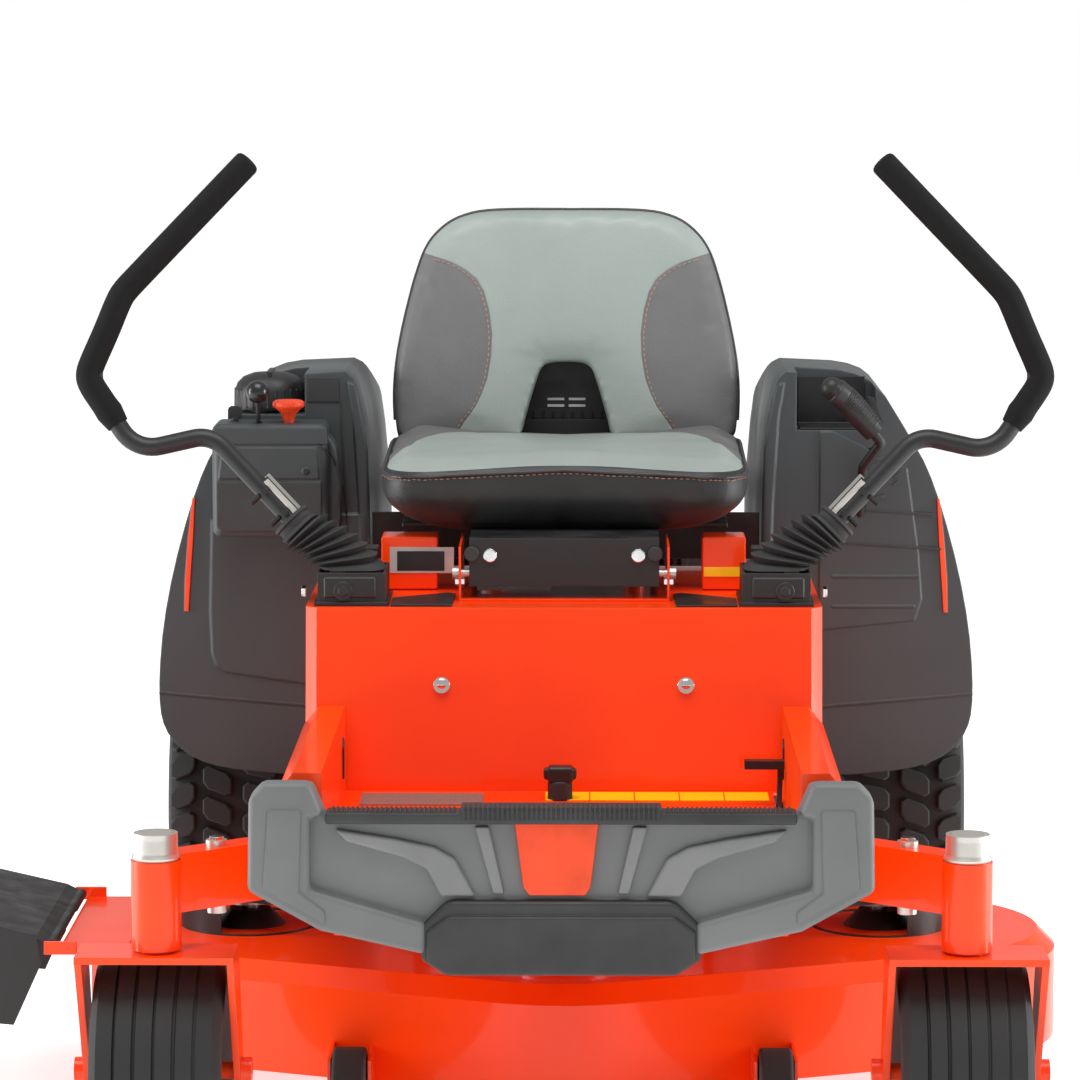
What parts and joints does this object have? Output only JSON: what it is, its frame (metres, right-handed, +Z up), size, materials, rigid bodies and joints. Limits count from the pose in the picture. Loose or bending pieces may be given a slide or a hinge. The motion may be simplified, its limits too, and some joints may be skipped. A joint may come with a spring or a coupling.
{
  "type": "zero turn mower",
  "caption": "Ride-on zero turn mower with lap bar steering, swivelling front casters, a rear engine and a mid-mounted side discharge deck.",
  "frame": {"origin": "on the ground, under the middle of the whole machine's box", "axes": "+Z up, -Y forward (the driving direction), +X to the operator's left"},
  "size_m": [1.478, 1.941, 1.1759],
  "materials": {
    "frame_enamel": "glossy",
    "black_enamel": "glossy",
    "moulded_grey": "matte",
    "moulded_black": "matte",
    "gloss_black": "glossy",
    "knob_red": "satin",
    "tyre_rubber": "matte",
    "soft_rubber": "matte",
    "vinyl": "satin",
    "zinc": "satin",
    "chrome": "polished",
    "cast_alloy": "cast",
    "cast_iron": "rough",
    "steel": "satin"
  },
  "bodies": {
    "root": {"main_frame": "frame_enamel", "caster_arms": "frame_enamel", "footwell": "frame_enamel", "seat_box": "frame_enamel", "seat_bracket": "frame_enamel", "front_cover": "moulded_grey", "fender_right": "moulded_grey", "fender_left": "moulded_grey", "fuel_tank": "moulded_black", "control_console": "moulded_grey", "lever_housings": "moulded_black", "engine_block": "cast_alloy", "blower_housing": "moulded_black", "air_cleaner": "moulded_black", "muffler": "steel", "engine_guard": "black_enamel", "transaxles": "cast_alloy", "drive_belt": "soft_rubber", "battery": "moulded_black", "fasteners": "zinc"},
    "rear_wheel_right": {"rear_tyre_right": "tyre_rubber", "rear_rim_right": "frame_enamel"},
    "rear_wheel_left": {"rear_tyre_left": "tyre_rubber", "rear_rim_left": "frame_enamel"},
    "swivel_right": {"caster_fork_right": "frame_enamel"},
    "swivel_left": {"caster_fork_left": "frame_enamel"},
    "roller_right": {"caster_wheel_right": "tyre_rubber"},
    "roller_left": {"caster_wheel_left": "tyre_rubber"},
    "seat": {"seat_frame": "black_enamel", "seat_pan": "black_enamel", "seat_cushion": "vinyl", "seat_backrest": "vinyl"},
    "post_right": {"control_post_right": "steel", "lever_boot_right": "soft_rubber"},
    "post_left": {"control_post_left": "steel", "lever_boot_left": "soft_rubber"},
    "bar_right": {"lap_bar_right": "black_enamel", "bar_grip_right": "soft_rubber"},
    "bar_left": {"lap_bar_left": "black_enamel", "bar_grip_left": "soft_rubber"},
    "deck": {"deck_shell": "frame_enamel", "spindle_housings": "cast_alloy", "deck_belt": "soft_rubber", "belt_covers": "moulded_black"},
    "blade_right": {"blade_right": "steel"},
    "blade_centre": {"blade_centre": "steel"},
    "blade_left": {"blade_left": "steel"},
    "chute": {"discharge_chute": "moulded_grey"},
    "scalp_right": {"scalp_wheel_right": "moulded_black"},
    "scalp_left": {"scalp_wheel_left": "moulded_black"},
    "lift": {"lift_pedal": "black_enamel"},
    "height_knob": {"height_knob": "moulded_black"},
    "fuel_cap": {"fuel_cap": "moulded_grey"},
    "throttle": {"throttle_lever": "gloss_black"},
    "clutch_knob": {"clutch_knob": "knob_red"},
    "key": {"ignition_key": "moulded_black"},
    "brake": {"brake_lever": "soft_rubber"},
    "crankshaft": {"crank_pulley": "steel"},
    "pump_right": {"pump_pulley_right": "steel"},
    "pump_left": {"pump_pulley_left": "steel"}
  },
  "joints": [
    {"name": "rear_wheel_right_spin", "type": "hinge", "parent": "root", "child": "rear_wheel_right", "pos_m": [-0.298, 0.3645, 0.254], "axis": [1, 0, 0], "continuous": true},
    {"name": "rear_wheel_left_spin", "type": "hinge", "parent": "root", "child": "rear_wheel_left", "pos_m": [0.532, 0.3645, 0.254], "axis": [1, 0, 0], "continuous": true},
    {"name": "caster_right_swivel", "type": "hinge", "parent": "root", "child": "swivel_right", "pos_m": [-0.341, -0.8855, 0.29], "axis": [0, 0, 1], "continuous": true},
    {"name": "caster_right_roll", "type": "hinge", "parent": "swivel_right", "child": "roller_right", "pos_m": [-0.341, -0.8175, 0.14], "axis": [1, 0, 0], "continuous": true},
    {"name": "caster_left_swivel", "type": "hinge", "parent": "root", "child": "swivel_left", "pos_m": [0.575, -0.8855, 0.29], "axis": [0, 0, 1], "continuous": true},
    {"name": "caster_left_roll", "type": "hinge", "parent": "swivel_left", "child": "roller_left", "pos_m": [0.575, -0.8175, 0.14], "axis": [1, 0, 0], "continuous": true},
    {"name": "seat_tilt", "type": "hinge", "parent": "root", "child": "seat", "pos_m": [0.117, -0.3255, 0.655], "axis": [1, 0, 0], "range_deg": [0, 60]},
    {"name": "lever_right_fore_aft", "type": "hinge", "parent": "root", "child": "post_right", "pos_m": [-0.143, -0.3325, 0.64], "axis": [1, 0, 0], "range_deg": [-12, 16]},
    {"name": "lever_right_swing", "type": "hinge", "parent": "post_right", "child": "bar_right", "pos_m": [-0.171, -0.3325, 0.668], "axis": [0, -1, 0], "range_deg": [-35, 0], "deforming": ["lever_boot_right"]},
    {"name": "lever_left_fore_aft", "type": "hinge", "parent": "root", "child": "post_left", "pos_m": [0.377, -0.3325, 0.64], "axis": [1, 0, 0], "range_deg": [-12, 16]},
    {"name": "lever_left_swing", "type": "hinge", "parent": "post_left", "child": "bar_left", "pos_m": [0.405, -0.3325, 0.668], "axis": [0, 1, 0], "range_deg": [-35, 0], "deforming": ["lever_boot_left"]},
    {"name": "deck_lift", "type": "slide", "parent": "root", "child": "deck", "axis": [0, 0, 1], "range_m": [0, 0.045], "deforming": ["deck_belt"]},
    {"name": "lift_pedal_press", "type": "hinge", "parent": "root", "child": "lift", "pos_m": [0.117, -0.4755, 0.342], "axis": [1, 0, 0], "range_deg": [0, 25]},
    {"name": "blade_centre_spin", "type": "hinge", "parent": "deck", "child": "blade_centre", "pos_m": [0.117, -0.4155, 0.085], "axis": [0, 0, 1], "continuous": true},
    {"name": "blade_right_spin", "type": "hinge", "parent": "deck", "child": "blade_right", "pos_m": [-0.283, -0.2555, 0.085], "axis": [0, 0, 1], "continuous": true},
    {"name": "blade_left_spin", "type": "hinge", "parent": "deck", "child": "blade_left", "pos_m": [0.517, -0.2555, 0.085], "axis": [0, 0, 1], "continuous": true},
    {"name": "chute_lift", "type": "hinge", "parent": "deck", "child": "chute", "pos_m": [-0.515, -0.2705, 0.205], "axis": [0, 1, 0], "range_deg": [0, 90]},
    {"name": "scalp_right_roll", "type": "hinge", "parent": "deck", "child": "scalp_right", "pos_m": [-0.137, -0.6275, 0.07], "axis": [1, 0, 0], "continuous": true},
    {"name": "scalp_left_roll", "type": "hinge", "parent": "deck", "child": "scalp_left", "pos_m": [0.371, -0.6275, 0.07], "axis": [1, 0, 0], "continuous": true},
    {"name": "height_knob_turn", "type": "hinge", "parent": "root", "child": "height_knob", "pos_m": [0.113, -0.4955, 0.42], "axis": [0, 0, 1], "range_deg": [0, 180]},
    {"name": "fuel_cap_turn", "type": "hinge", "parent": "root", "child": "fuel_cap", "pos_m": [-0.276, 0.0805, 0.85], "axis": [0, 0, 1], "range_deg": [0, 270]},
    {"name": "throttle_push", "type": "hinge", "parent": "root", "child": "throttle", "pos_m": [-0.284, -0.0205, 0.78], "axis": [1, 0, 0], "range_deg": [-38, 0]},
    {"name": "clutch_knob_pull", "type": "slide", "parent": "root", "child": "clutch_knob", "axis": [0, 0, 1], "range_m": [0, 0.012]},
    {"name": "key_turn", "type": "hinge", "parent": "root", "child": "key", "pos_m": [-0.317, -0.0075, 0.82], "axis": [0, 0, 1], "range_deg": [-60, 0]},
    {"name": "brake_pull", "type": "hinge", "parent": "root", "child": "brake", "pos_m": [0.505, 0.0645, 0.64], "axis": [1, 0, 0], "range_deg": [-15, 0]},
    {"name": "crankshaft_spin", "type": "hinge", "parent": "root", "child": "crankshaft", "pos_m": [0.117, 0.6145, 0.34], "axis": [0, 0, 1], "continuous": true},
    {"name": "pump_right_spin", "type": "hinge", "parent": "root", "child": "pump_right", "pos_m": [0.007, 0.3345, 0.34], "axis": [0, 0, 1], "continuous": true},
    {"name": "pump_left_spin", "type": "hinge", "parent": "root", "child": "pump_left", "pos_m": [0.227, 0.3345, 0.34], "axis": [0, 0, 1], "continuous": true}
  ],
  "couplings": [
    {"joint": "lift_pedal_press", "follows": "deck_lift", "rad_per_m": 9.69},
    {"joint": "blade_right_spin", "follows": "blade_centre_spin", "ratio": 1},
    {"joint": "blade_left_spin", "follows": "blade_centre_spin", "ratio": 1},
    {"joint": "pump_right_spin", "follows": "crankshaft_spin", "ratio": 0.8077},
    {"joint": "pump_left_spin", "follows": "crankshaft_spin", "ratio": 0.8077}
  ]
}
